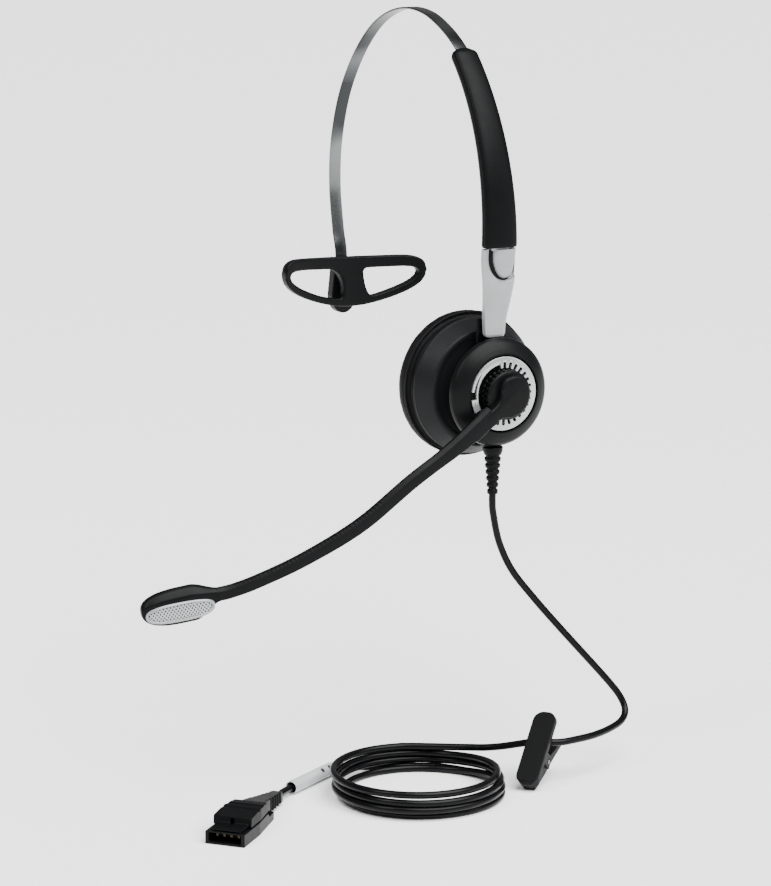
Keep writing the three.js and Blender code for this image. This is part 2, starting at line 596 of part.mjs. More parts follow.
function buildLead(parent) {
  // A ribbed taper hanging from the yoke's foot, drawn as a profile about the vertical.
  const relief = [];
  const ribs = 5;
  const topRadius = 3.1;
  const endRadius = 1.8;
  const reliefLength = 17.4;
  for (let i = 0; i <= ribs * 2; i++) {
    const share = i / (ribs * 2);
    const radius = topRadius + (endRadius - topRadius) * share;
    const groove = i % 2 ? 0.35 : 0;
    relief.push(new THREE.Vector2(radius - groove, -20.3 - reliefLength * share));
  }
  const top = new THREE.Vector2(0, -20.3);
  const bottom = new THREE.Vector2(0, -20.3 - reliefLength);
  const boot = new THREE.LatheGeometry([top, ...relief, bottom], SMALL_TURN_SIDES).rotateX(Math.PI / 2);
  add(parent, "strain_relief", boot.translate(RELIEF_X, 0, 0), RUBBER());

  const upperRoute = [
    [RELIEF_X, 0, -38], [25.8, 0.4, -45], [26.1, 2.8, -55.7], [27, 7.8, -66.5], [28.5, 16.4, -77.7],
    [30.2, 26, -89], [32.3, 35.9, -100.4], [34.8, 45.2, -111.4], [36.8, 49.2, -117.4], [39.2, 49.8, -121.9],
    [42.4, 46, -124.6], [46.2, 38.2, -125.6], [49.6, 29, -125.8], [51.2, 20, -125.7], [51.7, 14.6, -125.6],
    [50.7, 10.3, -125.4], [49.3, 8.6, -125.4], [47.8, 7, -125.4], [46, 5.1, -125.7], [42, 2.4, -127],
    [36, -1.4, -129], [30.6, -5.4, -130.3], [26.4, -9.2, -130.8],
  ];
  add(parent, "cord_upper", cordAlong(upperRoute, 54), RUBBER());

  const corner = 1.4;
  const [inner, outer] = [COIL_INNER_RADIUS, COIL_OUTER_RADIUS];
  const section = [
    [inner, corner], [inner, COIL_HEIGHT - corner], [inner + corner, COIL_HEIGHT],
    [outer - corner, COIL_HEIGHT], [outer, COIL_HEIGHT - corner], [outer, corner],
    [outer - corner, 0], [inner + corner, 0], [inner, corner],
  ].map(([radius, z]) => new THREE.Vector2(radius, z));
  const coil = new THREE.LatheGeometry(section, 36).rotateX(Math.PI / 2);
  const coilMesh = add(parent, "cord_coil", coil, RUBBER());
  coilMesh.position.set(COIL_CENTRE.x, COIL_CENTRE.y, FLOOR_Z);

  const lying = FLOOR_Z + CORD_DIAMETER / 2;
  const lowerRoute = [
    [7.7, -36.4, lying], [4.9, -42, lying], [3.5, -47.4, lying + 0.4], [3.9, -52.4, lying + 1.1],
    [7.2, -58.4, lying + 1.3], [13, -68.8, lying + 1.3], [18.6, -78.8, lying + 1.3], [21.6, -83, lying + 1.5],
    [25.1, -86.9, lying + 1.7],
  ];
  add(parent, "cord_lower", cordAlong(lowerRoute, 18), RUBBER());

  const labelStart = new THREE.Vector3(5.4, -55.2, lying + 1.3);
  const labelEnd = new THREE.Vector3(18.3, -78.3, lying + 1.3);
  const labelLength = labelStart.distanceTo(labelEnd);
  const label = new THREE.Group();
  label.position.copy(labelStart);
  label.rotation.z = Math.atan2(labelEnd.y - labelStart.y, labelEnd.x - labelStart.x);
  parent.add(label);
  add(label, "cord_label", washer(0, labelLength, 1.75, 2.6, 16), LABEL_SILVER());
}

function buildPlug(parent) {
  // Local frame: +X out of the plug's mouth, +Z up, the origin on the floor at the middle of the mouth.
  const plug = new THREE.Group();
  plug.position.set(56.4, -123.6, FLOOR_Z);
  plug.rotation.z = degrees(-49.5);
  parent.add(plug);

  const trayPlan = outline([[0, -7.2], [0, 7.2], [-14, 7.1], [-31.5, 5.2], [-31.5, -5.2], [-14, -7.1]]);
  const traySide = outline([[0, 0], [0, 4.6], [-24, 4.6], [-26, 2.9], [-31.5, 2.9], [-31.5, 0]]);
  const tray = common(plateAlongZ(trayPlan, -1, 6), plateAlongY(traySide, -8, 8));
  const mouth = boxBetween([-7, -5.9, 0.8], [1, 5.9, 4.1]);
  add(plug, "plug_lower_shell", cut(tray, mouth), BLACK_PLASTIC());

  // The upper shell steps down to a ramp above the mouth, with grip ridges across its back.
  const side = outline([
    [-0.6, 4.9], [-0.8, 5.3], [-6.6, 6], [-7, 8.2], [-13.2, 8.9], [-13.5, 8.6], [-14.9, 8.7], [-15.2, 9],
    [-17, 9.1], [-17.3, 8.8], [-18.7, 8.8], [-19, 9.1], [-23, 8.8], [-24.2, 8.2], [-24.2, 4.9],
  ]);
  const sides = outline([
    [0, -5.6], [0, 5.6], [-6.6, 5.7], [-6.7, 7], [-16, 6.8], [-24.2, 5.8], [-24.2, -5.8], [-16, -6.8],
    [-6.7, -7], [-6.6, -5.7],
  ]);
  const upper = common(plateAlongY(side, -8, 8), plateAlongZ(sides, 4, 12));
  const keyway = boxBetween([-8.6, -0.7, 5.5], [-3, 0.7, 7.4]);
  add(plug, "plug_upper_shell", cut(upper, keyway), BLACK_PLASTIC());

  const contactCount = 4;
  const pitch = 2.6;
  const block = boxBetween([-6.6, -5.5, 1.5], [-5, 5.5, 3.7]);
  add(plug, "plug_contact_block", block, GREY_PLASTIC());
  for (let i = 0; i < contactCount; i++) {
    const y = (i - (contactCount - 1) / 2) * pitch;
    const contact = boxBetween([-4.7, y - 0.4, 2.2], [-3, y + 0.4, 3]);
    add(plug, `plug_contact_${i + 1}`, contact, BRASS());
  }

  // The moulded boot: a ribbed wedge from the shells down to the cord.
  const bootEnd = -47.8;
  const bootStart = -24.5;
  const bootSide = outline([
    [bootStart, 4.9], [bootStart, 8.2], [bootEnd, 4.8], [bootEnd, 1], [-33, 1.6], [-31.8, 3.2], [-26.3, 3.2],
  ]);
  const ribCount = 5;
  const ribStart = -32;
  const ribPitch = 2.9;
  const flank = [[bootStart, 4.3], [ribStart, 3.6]];
  for (let i = 0; i < ribCount; i++) {
    const x = ribStart - i * ribPitch;
    const halfWidth = 3.5 - 0.3 * i;
    flank.push([x - 0.3, halfWidth - 0.5], [x - 1.1, halfWidth - 0.5], [x - 1.4, halfWidth]);
  }
  flank.push([bootEnd, 1.9]);
  const otherFlank = flank.map(([x, y]) => [x, -y]).reverse();
  const boot = common(plateAlongY(bootSide, -6, 6), plateAlongZ(outline([...flank, ...otherFlank]), 0, 10));
  add(plug, "plug_boot", boot, RUBBER());
}

// The clothing clip stands on its jaws and leans back, and carries the cord through its eye.
const CLIP_ORIGIN = new THREE.Vector3(49, 7.2, -126.3);
const CLIP_DOWN = new THREE.Vector3(12.3, -17.2, -22).normalize();
const CLIP_OUT = new THREE.Vector3(0.377, -0.615, 0.693);

function buildClip(parent) {
  // Local frame: +X towards the jaws, +Z out of the outer lever's broad face, the origin on the cord.
  const out = CLIP_OUT.clone().addScaledVector(CLIP_DOWN, -CLIP_OUT.dot(CLIP_DOWN)).normalize();
  const across = new THREE.Vector3().crossVectors(out, CLIP_DOWN);
  const clip = new THREE.Group();
  clip.quaternion.setFromRotationMatrix(new THREE.Matrix4().makeBasis(CLIP_DOWN, across, out));
  clip.position.copy(CLIP_ORIGIN);
  parent.add(clip);

  const width = 8.8;
  const jawEnd = 17.6;
  const handleEnd = -11.4;
  const face = roundedRectangle(jawEnd - handleEnd, width, 3.6, [(jawEnd + handleEnd) / 2, 0]);
  const pivot = [5.4, -2.2];
  const side = outline([
    [handleEnd, 2.2], [handleEnd, 4], [jawEnd - 1, 4], [jawEnd, 2.6], [jawEnd, 0.2],
    [jawEnd - 1.6, 0.2], [jawEnd - 3, 2], [3, 2], [handleEnd + 2, 2],
  ]);
  const lever = common(plateAlongY(side, -5, 5), plateAlongZ(face, -6, 6));
  const cheeks = [-1, 1].map((way) =>
    boxBetween([3.2, way * 3.2 - 0.6, -3.8], [7.6, way * 3.2 + 0.6, 2.6]),
  );
  const pinBore = new THREE.CylinderGeometry(1.2, 1.2, 12, 16).translate(pivot[0], 0, pivot[1]);
  const eyeX = -1.2;
  const eye = boxBetween([eyeX - 2.8, -1.5, -2.8], [eyeX + 2.8, 1.5, 2.6]);
  const eyeBore = new THREE.CylinderGeometry(2, 2, 12, 16).translate(eyeX, 0, 0);
  const outer = cut(join(lever, ...cheeks, eye), pinBore, eyeBore);
  add(clip, "clip_outer_lever", outer, BLACK_PLASTIC());

  const pin = new THREE.CylinderGeometry(0.9, 0.9, 7.6, 14).translate(pivot[0], 0, pivot[1]);
  add(clip, "clip_pin", pin, STEEL());

  const spring = new THREE.CylinderGeometry(2, 2, 1.2, 16).translate(pivot[0], -0.1, pivot[1]);
  const springBore = new THREE.CylinderGeometry(1.2, 1.2, 3, 16).translate(pivot[0], -0.1, pivot[1]);
  add(clip, "clip_spring", cut(spring, springBore), STEEL());

  // The inner lever: two side webs round the spring, joined by its back.
  const inner = outline([
    [jawEnd - 0.2, -0.1], [jawEnd - 0.2, -1.4], [pivot[0] + 3, -5.4], [pivot[0] - 3, -7.6], [-6.6, -11.6],
    [-7.2, -10.2], [pivot[0] - 3.4, -4.4], [pivot[0] - 1.6, -0.6], [pivot[0] + 1.6, -0.6], [jawEnd - 3.4, -1.2],
    [jawEnd - 1.6, -0.1],
  ]);
  const innerBody = plateAlongY(inner, -2.3, 2.3);
  const springRoom = new THREE.CylinderGeometry(2.5, 2.5, 2.4, 16).translate(pivot[0], -0.1, pivot[1]);
  add(clip, "clip_inner_lever", cut(innerBody, pinBore, springRoom), BLACK_PLASTIC());
}

buildCapsule(headset);
buildSocketRing(headset);
buildHub(headset);
buildArm(headset);
buildSleeve(headset);
buildBand(headset);
buildHolder(headset);
buildPad(headset);
buildBoom(headset);
buildMicrophone(headset);
buildLead(headset);
buildClip(headset);
buildPlug(headset);

export default headset;
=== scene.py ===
"""A one-ear office headset: the looks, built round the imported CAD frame.

Lengths here are millimetres until a mesh is made.
"""

import math

import bmesh
import bpy
from mathutils import Matrix, Vector, noise


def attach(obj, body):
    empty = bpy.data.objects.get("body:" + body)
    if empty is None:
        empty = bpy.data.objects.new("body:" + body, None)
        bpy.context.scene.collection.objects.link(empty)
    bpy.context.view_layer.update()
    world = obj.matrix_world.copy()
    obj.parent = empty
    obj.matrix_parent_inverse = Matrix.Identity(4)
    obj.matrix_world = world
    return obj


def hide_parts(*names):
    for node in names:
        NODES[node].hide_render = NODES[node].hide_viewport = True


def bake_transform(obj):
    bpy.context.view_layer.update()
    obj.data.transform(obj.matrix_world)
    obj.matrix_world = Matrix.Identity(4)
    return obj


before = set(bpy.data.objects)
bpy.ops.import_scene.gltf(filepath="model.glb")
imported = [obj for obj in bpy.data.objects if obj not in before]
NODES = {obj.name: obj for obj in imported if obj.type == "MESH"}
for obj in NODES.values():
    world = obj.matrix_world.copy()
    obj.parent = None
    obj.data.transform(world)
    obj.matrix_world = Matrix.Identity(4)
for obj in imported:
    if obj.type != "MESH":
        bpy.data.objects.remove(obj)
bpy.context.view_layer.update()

MM = 0.001

# ---- camera ------------------------------------------------------------------------------------

AZIMUTH, ELEVATION = math.radians(60.5), math.radians(11.3)
BACK = Vector(
    (math.sin(AZIMUTH) * math.cos(ELEVATION), -math.cos(AZIMUTH) * math.cos(ELEVATION), math.sin(ELEVATION))
)
RIGHT = Vector((math.cos(AZIMUTH), math.sin(AZIMUTH), 0))
UP = BACK.cross(RIGHT)
CAMERA_PLACE = Vector((0.92247, -0.55137, 0.1911))  # metres

camera_data = bpy.data.cameras.new("camera")
camera_data.lens = 121.9
camera_data.sensor_width = 36
camera_data.clip_end = 60
camera = bpy.data.objects.new("camera", camera_data)
camera.matrix_world = Matrix.Translation(CAMERA_PLACE) @ Matrix((RIGHT, UP, BACK)).transposed().to_4x4()
bpy.context.scene.collection.objects.link(camera)
bpy.context.scene.camera = camera

# ---- materials ---------------------------------------------------------------------------------


class Surface:
    """A Principled material built up from noise-driven nodes in the row's own coordinates."""

    def __init__(self, name, color, roughness, metallic=0.0, specular=0.5):
        self.material = bpy.data.materials.new(name)
        self.material.use_nodes = True
        self.tree = self.material.node_tree
        self.shader = self.tree.nodes["Principled BSDF"]
        self.shader.inputs["Base Color"].default_value = (*color, 1)
        self.shader.inputs["Roughness"].default_value = roughness
        self.shader.inputs["Metallic"].default_value = metallic
        self.shader.inputs["Specular IOR Level"].default_value = specular
        self.color = color
        self.coordinates = self.tree.nodes.new("ShaderNodeTexCoord").outputs["Object"]
        self.normal = None

    def node(self, kind, **values):
        made = self.tree.nodes.new(kind)
        for key, value in values.items():
            if key in made.inputs:
                made.inputs[key].default_value = value
            else:
                setattr(made, key, value)
        return made

    def link(self, source, target):
        self.tree.links.new(source, target)

    def stretched(self, scale):
        mapping = self.node("ShaderNodeMapping")
        mapping.inputs["Scale"].default_value = scale
        self.link(self.coordinates, mapping.inputs["Vector"])
        return mapping.outputs["Vector"]

    def noise(self, size_mm, detail=3.0, scale=None):
        texture = self.node("ShaderNodeTexNoise", Scale=1 / (size_mm * MM), Detail=detail)
        self.link(self.stretched(scale) if scale else self.coordinates, texture.inputs["Vector"])
        return texture.outputs["Fac"]

    def cells(self, size_mm, feature="F1", scale=None):
        texture = self.node("ShaderNodeTexVoronoi", Scale=1 / (size_mm * MM))
        texture.feature = feature
        self.link(self.stretched(scale) if scale else self.coordinates, texture.inputs["Vector"])
        return texture.outputs["Distance"]

    def bump(self, height, depth_mm, strength=1.0):
        bump = self.node("ShaderNodeBump", Strength=strength, Distance=depth_mm * MM)
        self.link(height, bump.inputs["Height"])
        if self.normal:
            self.link(self.normal, bump.inputs["Normal"])
        self.normal = bump.outputs["Normal"]
        self.link(self.normal, self.shader.inputs["Normal"])
        return self

    def vary(self, height, color, low=0.4, high=0.6):
        """Mixes a second colour in where height is high."""
        ramp = self.node("ShaderNodeValToRGB")
        ramp.color_ramp.elements[0].position = low
        ramp.color_ramp.elements[0].color = (*self.color, 1)
        ramp.color_ramp.elements[1].position = high
        ramp.color_ramp.elements[1].color = (*color, 1)
        self.link(height, ramp.inputs["Fac"])
        self.link(ramp.outputs["Color"], self.shader.inputs["Base Color"])
        return self

    def roughen(self, height, low, high):
        spread = self.node("ShaderNodeMapRange")
        spread.inputs["To Min"].default_value = low
        spread.inputs["To Max"].default_value = high
        self.link(height, spread.inputs["Value"])
        self.link(spread.outputs["Result"], self.shader.inputs["Roughness"])
        return self


def moulded(name, color, roughness, grain_mm=0.35, depth_mm=0.02, specular=0.5):
    s = Surface(name, color, roughness, specular=specular)
    s.bump(s.noise(grain_mm), depth_mm, 0.6)
    s.vary(s.noise(9), tuple(c * 1.25 for c in color), 0.35, 0.75)
    s.roughen(s.noise(4), roughness - 0.06, roughness + 0.06)
    return s.material


BLACK = moulded("black_plastic", (0.0022, 0.0024, 0.0026), 0.38, specular=0.085)
SATIN_BLACK = moulded("satin_black_plastic", (0.0018, 0.002, 0.0022), 0.42, 0.5, 0.01, 0.065)
GREY = moulded("dark_grey_plastic", (0.004, 0.0044, 0.0048), 0.44, 0.3, 0.025, 0.12)
RUBBER = moulded("black_rubber", (0.0018, 0.002, 0.0022), 0.38, 0.45, 0.015, 0.08)
CORD = moulded("cord_jacket", (0.0015, 0.0016, 0.0018), 0.26, 0.6, 0.008, 0.11)

leather = Surface("leatherette", (0.0024, 0.0026, 0.0029), 0.43, specular=0.1)
leather.bump(leather.cells(0.75, "F1"), 0.07, 0.7)
leather.bump(leather.noise(2.6, 4), 0.12, 0.5)
leather.vary(leather.noise(5), (0.0036, 0.0039, 0.0043), 0.35, 0.7)
leather.roughen(leather.noise(1.2), 0.42, 0.6)
LEATHER = leather.material

foam = Surface("speaker_cloth", (0.02, 0.02, 0.021), 0.9)
foam.bump(foam.cells(0.55), 0.12, 0.9)
foam.vary(foam.noise(1.5), (0.035, 0.035, 0.037))
FOAM = foam.material

silver = Surface("satin_silver_paint", (0.25, 0.26, 0.265), 0.28, 0.4)
silver.bump(silver.noise(0.12, 2), 0.004, 0.5)
silver.vary(silver.noise(7), (0.29, 0.3, 0.305), 0.3, 0.8)
silver.roughen(silver.noise(2.5), 0.26, 0.36)
SILVER = silver.material

bright = Surface("bright_silver", (0.42, 0.43, 0.435), 0.22, 0.6)
bright.bump(bright.noise(0.2, 2), 0.003, 0.4)
bright.roughen(bright.noise(2), 0.16, 0.27)
BRIGHT = bright.material

steel = Surface("spring_steel", (0.035, 0.038, 0.039), 0.24, 1.0)
steel.bump(steel.noise(0.22, 3, (1, 14, 1)), 0.003, 0.5)
steel.roughen(steel.noise(0.8, 3, (1, 10, 1)), 0.17, 0.34)
# The broad lighter patches mixed into the steel's colour are painted reflections along the band.
steel.vary(steel.noise(24, 1), (0.16, 0.17, 0.17), 0.4, 0.62)
STEEL = steel.material

brass = Surface("contact_brass", (0.07, 0.052, 0.025), 0.5, 1.0)
brass.bump(brass.noise(0.15), 0.004, 0.4)
BRASS = brass.material

board = Surface("circuit_board", (0.012, 0.09, 0.035), 0.4)
board.bump(board.cells(1.6), 0.05, 0.5)
board.vary(board.noise(2.2), (0.03, 0.19, 0.08), 0.48, 0.52)
BOARD = board.material

label = Surface("label_film", (0.4, 0.42, 0.425), 0.36, 0.1)
label.bump(label.noise(0.5), 0.012, 0.5)
label.vary(label.noise(6), (0.47, 0.49, 0.495), 0.3, 0.7)
LABEL = label.material

INK = moulded("black_ink", (0.01, 0.01, 0.011), 0.5)

floor_paint = Surface("studio_floor", (0.93, 0.93, 0.93), 0.75, specular=0.1)
floor_paint.bump(floor_paint.noise(3), 0.02, 0.1)

# ---- mesh helpers ------------------------------------------------------------------------------


def shade(obj, angle=35):
    obj.data.shade_smooth()
    obj.data.set_sharp_from_angle(angle=math.radians(angle))
    return obj


def mesh_object(name, points, faces, material, angle=35, weld=0.001):
    mesh = bpy.data.meshes.new(name)
    mesh.from_pydata([Vector(p) * MM for p in points], [], faces)
    bm = bmesh.new()
    bm.from_mesh(mesh)
    bmesh.ops.remove_doubles(bm, verts=bm.verts, dist=weld * MM)
    bmesh.ops.recalc_face_normals(bm, faces=bm.faces)
    bm.to_mesh(mesh)
    bm.free()
    mesh.materials.append(material)
    obj = bpy.data.objects.new(name, mesh)
    bpy.context.scene.collection.objects.link(obj)
    return shade(obj, angle)


def rounded(points, radius, loop=True, steps=4):
    """A polyline with its corners rounded."""
    points = [Vector(p) for p in points]
    out = []
    count = len(points)
    for i, corner in enumerate(points):
        if not loop and i in (0, count - 1):
            out.append(corner)
            continue
        before, after = points[i - 1] - corner, points[(i + 1) % count] - corner
        reach = min(radius, before.length * 0.45, after.length * 0.45)
        if reach < 0.01:
            out.append(corner)
            continue
        start, end = corner + before.normalized() * reach, corner + after.normalized() * reach
        for k in range(steps + 1):
            t = k / steps
            out.append(start * (1 - t) ** 2 + corner * 2 * t * (1 - t) + end * t * t)
    return out


def smooth_line(points, spacing):
    """A Catmull-Rom line through the points, resampled at an even spacing."""
    points = [Vector(p) for p in points]
    padded = [points[0] * 2 - points[1], *points, points[-1] * 2 - points[-2]]
    fine = []
    for a, b, c, d in zip(padded, padded[1:], padded[2:], padded[3:]):
        for k in range(24):
            t = k / 24
            square, cube = 2 * a - 5 * b + 4 * c - d, 3 * b - a - 3 * c + d
            fine.append(0.5 * (2 * b + (c - a) * t + square * t * t + cube * t**3))
    fine.append(points[-1])
    lengths = [0.0]
    for a, b in zip(fine, fine[1:]):
        lengths.append(lengths[-1] + (b - a).length)
    count = max(2, round(lengths[-1] / spacing))
    out, at = [], 0
    for i in range(count + 1):
        want = lengths[-1] * i / count
        while at < len(fine) - 2 and lengths[at + 1] < want:
            at += 1
        span = lengths[at + 1] - lengths[at]
        out.append(fine[at].lerp(fine[at + 1], (want - lengths[at]) / span if span else 0))
    return out


def lathe(name, profile, material, sides=112, loop=True, angle=35):
    """Turns a profile of (x, radius) about the ear axis."""
    points, faces = [], []
    count = len(profile)
    for j in range(sides):
        turn = math.tau * j / sides
        points += [(x, r * math.cos(turn), r * math.sin(turn)) for x, r in profile]
    for j in range(sides):
        a, b = j * count, (j + 1) % sides * count
        for i in range(count if loop else count - 1):
            k = (i + 1) % count
            faces.append((a + i, a + k, b + k, b + i))
    return mesh_object(name, points, faces, material, angle)


def loft(name, rings, material, caps=True, angle=35, closed=False):
    """Skins a row of rings that all have the same number of points."""
    size = len(rings[0])
    points = [p for ring in rings for p in ring]
    faces = []
    for j in range(len(rings) if closed else len(rings) - 1):
        a, b = j * size, (j + 1) % len(rings) * size
        for i in range(size):
            k = (i + 1) % size
            faces.append((a + i, a + k, b + k, b + i))
    if caps and not closed:
        faces.append(tuple(range(size)))
        faces.append(tuple(reversed(range(len(points) - size, len(points)))))
    return mesh_object(name, points, faces, material, angle)


def box_section(width, height, corner, steps=4):
    """A rounded rectangle as (u, v) pairs, counter-clockwise."""
    w, h = width / 2, height / 2
    return rounded([(w, -h), (w, h), (-w, h), (-w, -h)], corner, True, steps)


def inset(outline, distance):
    """Moves a counter-clockwise outline inwards."""
    out = []
    for i, corner in enumerate(outline):
        before = (corner - outline[i - 1]).normalized()
        after = (outline[(i + 1) % len(outline)] - corner).normalized()
        one, two = Vector((-before.y, before.x)), Vector((-after.y, after.x))
        middle = (one + two).normalized() if (one + two).length > 1e-6 else one
        out.append(corner + middle * distance / max(middle.dot(one), 0.6))
    return out


def counter_clockwise(outline):
    area = sum(a.x * b.y - b.x * a.y for a, b in zip(outline, outline[1:] + outline[:1]))
    return outline if area > 0 else list(reversed(outline))


def plate(name, outline, low, high, place, material, edge=0.4, steps=3):
    """A flat piece with rounded edges.

    place(u, v, w) puts an outline's point at height w into the row frame.
    """
    outline = counter_clockwise([Vector(p) for p in outline])
    turns = [math.pi / 2 * k / steps for k in range(steps + 1)]
    levels = [(low + edge * (1 - math.sin(turn)), edge * (1 - math.cos(turn))) for turn in reversed(turns)]
    levels += [(high - edge * (1 - math.sin(turn)), edge * (1 - math.cos(turn))) for turn in turns]
    rings = [[place(p.x, p.y, height) for p in inset(outline, distance)] for height, distance in levels]
    return loft(name, rings, material)


def as_drawn(u, v, w):
    return (u, v, w)


def along_x(u, v, w):
    return (w, u, v)


def circle(radius, count=64, centre=(0, 0)):
    points = []
    for i in range(count):
        turn = math.tau * i / count
        points.append(Vector((centre[0] + radius * math.cos(turn), centre[1] + radius * math.sin(turn))))
    return points


def apply_modifiers(obj):
    bpy.context.view_layer.update()
    graph = bpy.context.evaluated_depsgraph_get()
    mesh = bpy.data.meshes.new_from_object(obj.evaluated_get(graph))
    obj.modifiers.clear()
    obj.data = mesh
    return obj


def carve(obj, *tools):
    for tool in tools:
        cut = obj.modifiers.new("cut", "BOOLEAN")
        cut.operation = "DIFFERENCE"
        cut.solver = "EXACT"
        cut.object = tool
    apply_modifiers(obj)
    for tool in tools:
        bpy.data.objects.remove(tool)
    return shade(obj)


def merged(name, *objects):
    """One object from several overlapping ones, kept as separate shells."""
    bm = bmesh.new()
    for obj in objects:
        bm.from_mesh(obj.data)
    mesh = bpy.data.meshes.new(name)
    bm.to_mesh(mesh)
    bm.free()
    mesh.materials.append(objects[0].data.materials[0])
    for obj in objects:
        bpy.data.objects.remove(obj)
    made = bpy.data.objects.new(name, mesh)
    bpy.context.scene.collection.objects.link(made)
    return shade(made)


def softened(name, node, voxel, rounds, material):
    """A finely remeshed copy of a CAD node with its edges eased, as a moulding has."""
    obj = bpy.data.objects.new(name, NODES[node].data.copy())
    bpy.context.scene.collection.objects.link(obj)
    remesh = obj.modifiers.new("remesh", "REMESH")
    remesh.mode = "VOXEL"
    remesh.voxel_size = voxel * MM
    ease = obj.modifiers.new("ease", "SMOOTH")
    ease.factor = 0.5
    ease.iterations = rounds
    apply_modifiers(obj)
    obj.data.materials.clear()
    obj.data.materials.append(material)
    for key in list(obj.keys()):
        del obj[key]
    obj.data.shade_smooth()
    return obj


def settle(obj, body, slot, *nodes):
    """Puts a finished piece on its body, in place of its CAD nodes."""
    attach(obj, body)
    if nodes:
        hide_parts(*nodes)
    return obj


# ---- the lead ----------------------------------------------------------------------------------

CORD_DIAMETER = 2.6
FLOOR = -140
COIL = Vector((40.5, -39))
UPPER_ROUTE = [
    (25.8, 0, -36.5), (25.8, 0, -41), (25.8, 0.4, -45), (26.1, 2.8, -55.7), (27, 7.8, -66.5), (28.5, 16.4, -77.7),
    (30.2, 26, -89), (32.3, 35.9, -100.4), (34.8, 45.2, -111.4), (36.8, 49.2, -117.4), (39.2, 49.8, -121.9),
    (42.4, 46, -124.6), (46.2, 38.2, -125.6), (49.6, 29, -125.8), (51.2, 20, -125.7), (51.7, 14.6, -125.6),
    (50.7, 10.3, -125.4), (49.3, 8.6, -125.4), (47.8, 7, -125.4), (46, 5.1, -125.7), (42, 2.4, -127),
    (36, -1.4, -129), (30.6, -5.4, -130.3), (26.4, -9.2, -130.8),
]
LOWER_ROUTE = [
    (7.7, -36.4, -138.7), (4.9, -42, -138.7), (3.5, -47.4, -138.3), (3.9, -52.4, -137.6), (7.2, -58.4, -137.4),
    (13, -68.8, -137.4), (18.6, -78.8, -137.4), (21.6, -83, -137.2), (26, -88, -137),
]


def eased(value, low, high):
    t = min(max((value - low) / (high - low), 0), 1)
    return t * t * (3 - 2 * t)


def coil_point(turn):
    """The coil from its top, at 142 degrees, round to 148 degrees at the bottom: degrees unwound so far."""
    theta = math.radians(142 + turn)
    drops = [eased(turn, 270 + 360 * k, 360 + 360 * k) for k in range(3)]
    z = -130.9 - 2.75 * drops[0] - 2.45 * drops[1] - 2.6 * drops[2]
    radius = 29 + 0.5 * drops[0] + 0.3 * drops[1] - 2.7 * drops[2] + 2.6 * eased(turn, 1230, 1380)
    loose = 1 - drops[0]
    centre = COIL + Vector((-0.5, -0.9)) * loose
    wander = 0.25 * math.sin(theta * 2 + turn * 0.004) * (1 - eased(turn, 1300, 1440))
    reach = radius + wander
    return Vector((centre.x + reach * math.cos(theta), centre.y + reach * math.sin(theta), z))


coil = [coil_point(turn) for turn in range(12, 1447, 12)]
lead_line = smooth_line(UPPER_ROUTE + [tuple(p) for p in coil] + LOWER_ROUTE, 1.5)
lead_curve = bpy.data.curves.new("lead", "CURVE")
lead_curve.dimensions = "3D"
lead_curve.bevel_depth = CORD_DIAMETER / 2 * MM
lead_curve.bevel_resolution = 5
lead_curve.use_fill_caps = True
spline = lead_curve.splines.new("POLY")
spline.points.add(len(lead_line) - 1)
for point, place in zip(spline.points, lead_line):
    point.co = (*(place * MM), 1)
spline.use_smooth = True
lead_curve.materials.append(CORD)
lead = bpy.data.objects.new("lead", lead_curve)
bpy.context.scene.collection.objects.link(lead)

# The strain relief: a tapered sleeve of ribs under the hub.
relief_profile = [(0, 0), (0, 3.5), (0.3, 3.7), (1.6, 3.6), (2.6, 3.25)]
for i in range(6):
    top = 2.9 + i * 2.35
    r = 3.15 - 0.21 * i
    relief_profile += [(top, r), (top + 0.35, r - 0.55), (top + 0.95, r - 0.6), (top + 1.25, r - 0.12)]
relief_profile += [(17.2, 1.95), (17.5, 1.6), (17.5, 0)]
relief = lathe("strain_relief_ribs", rounded(relief_profile, 0.25, False), RUBBER, 48, False)
relief_place = Matrix.Translation(Vector((25.8, 0, -20.2)) * MM)
relief.data.transform(relief_place @ Matrix.Rotation(math.radians(90), 4, "Y"))
settle(relief, "hub", "rubber", "strain_relief")

# ---- label sleeve ------------------------------------------------------------------------------

label_start, label_end = Vector((5.4, -55.2, -137.4)), Vector((18.3, -78.3, -137.4))
label_along = (label_end - label_start).normalized()
label_up = Vector((0, 0, 1))
label_matrix = Matrix((label_along, label_up.cross(label_along), label_up)).transposed().to_4x4()
label_matrix.translation = label_start
label_length = (label_end - label_start).length


def on_label(obj):
    obj.data.transform(Matrix.Scale(MM, 4) @ label_matrix @ Matrix.Scale(1 / MM, 4))
    return obj


film_profile = rounded([(0, 2.05), (0, 2.35), (label_length, 2.35), (label_length, 2.05)], 0.12)
film = on_label(lathe("label_film_sleeve", film_profile, LABEL, 48))
settle(film, "hub", "label", "cord_label")
collar_end = label_length - 0.7
collar_profile = rounded([(0.8, 1.35), (0.8, 2.0), (collar_end, 2.0), (collar_end, 1.35)], 0.3)
collar = on_label(lathe("label_inner_sleeve", collar_profile, BLACK, 48))
settle(collar, "hub", "label")
for i in range(2):
    outline = circle(0.85, 24, (3.4 + i * 4.6, 0))
    spot = plate(f"label_spot_{i + 1}", outline, 1.95, 2.42, as_drawn, INK, 0.05)
    spot.data.transform(Matrix.Rotation(math.radians(-42), 4, "X"))
    settle(on_label(spot), "hub", "label")

# ---- clip --------------------------------------------------------------------------------------

for name, node, voxel, rounds in [
    ("clip_front_lever", "clip_outer_lever", 0.16, 5),
    ("clip_back_lever", "clip_inner_lever", 0.16, 4),
]:
    piece = softened(name, node, voxel, rounds, BLACK)
    settle(piece, "hub" if node == "clip_outer_lever" else "clip_jaw", "black_plastic", node)

# ---- plug --------------------------------------------------------------------------------------

